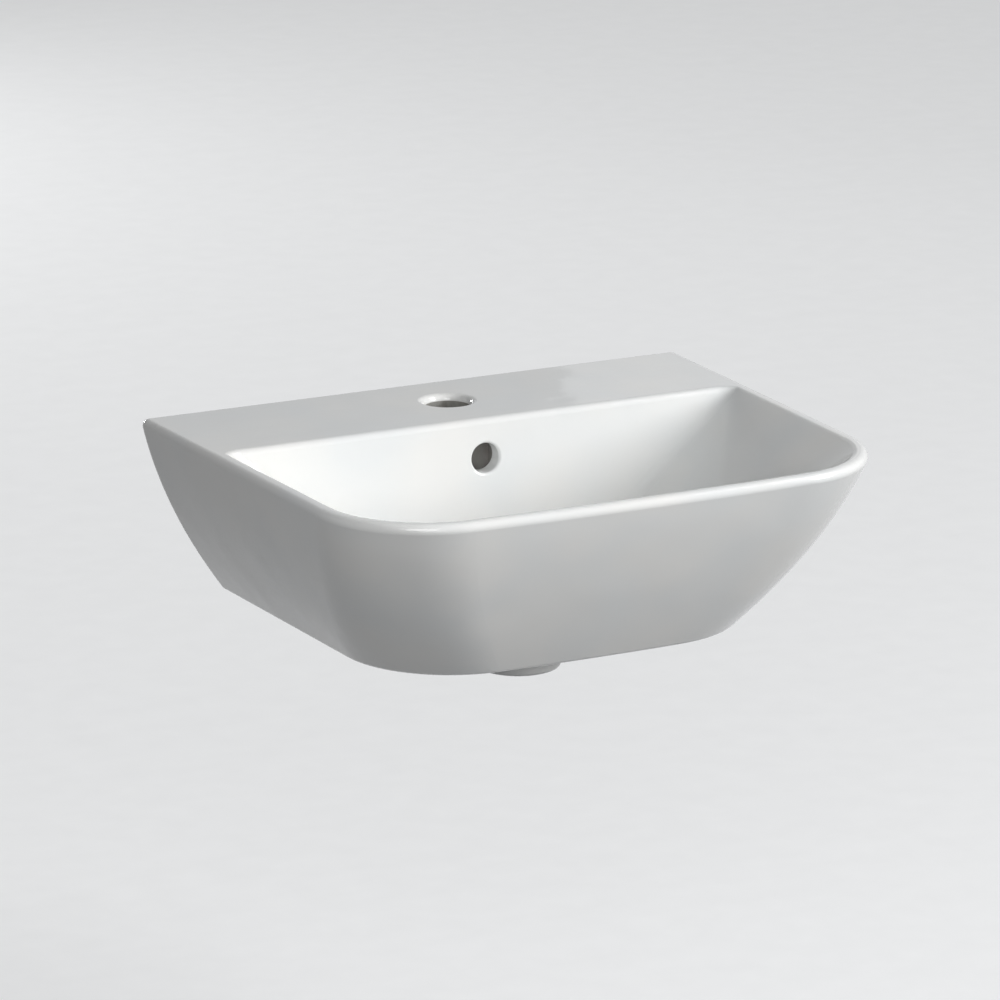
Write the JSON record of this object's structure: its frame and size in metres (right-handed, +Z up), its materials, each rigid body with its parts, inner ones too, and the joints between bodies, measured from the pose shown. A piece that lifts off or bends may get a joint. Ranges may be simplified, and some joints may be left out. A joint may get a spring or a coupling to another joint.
{
  "type": "wall hung basin",
  "caption": "Compact wall hung basin in white vitreous china with a tap deck, a sloping bowl, an overflow and a waste boss, hung on bolts in wall plugs.",
  "frame": {"origin": "on the wall's surface, midway between the two fixing holes", "axes": "+Z up, +Y into the wall, +X to the right of someone who faces the basin"},
  "size_m": [0.4492, 0.4403, 0.175],
  "materials": {
    "white_china": "high gloss white glaze",
    "plug_nylon": "moulded grey nylon",
    "zinc_steel": "zinc plated steel",
    "bush_plastic": "moulded white plastic",
    "cap_plastic": "moulded glossy white plastic"
  },
  "bodies": {
    "root": {"basin_body": "white_china", "wall_plug_left": "plug_nylon", "hanger_bolt_left": "zinc_steel", "flanged_bush_left": "bush_plastic", "washer_left": "zinc_steel", "nut_left": "zinc_steel", "bolt_cap_left": "cap_plastic", "wall_plug_right": "plug_nylon", "hanger_bolt_right": "zinc_steel", "flanged_bush_right": "bush_plastic", "washer_right": "zinc_steel", "nut_right": "zinc_steel", "bolt_cap_right": "cap_plastic"}
  },
  "joints": []
}
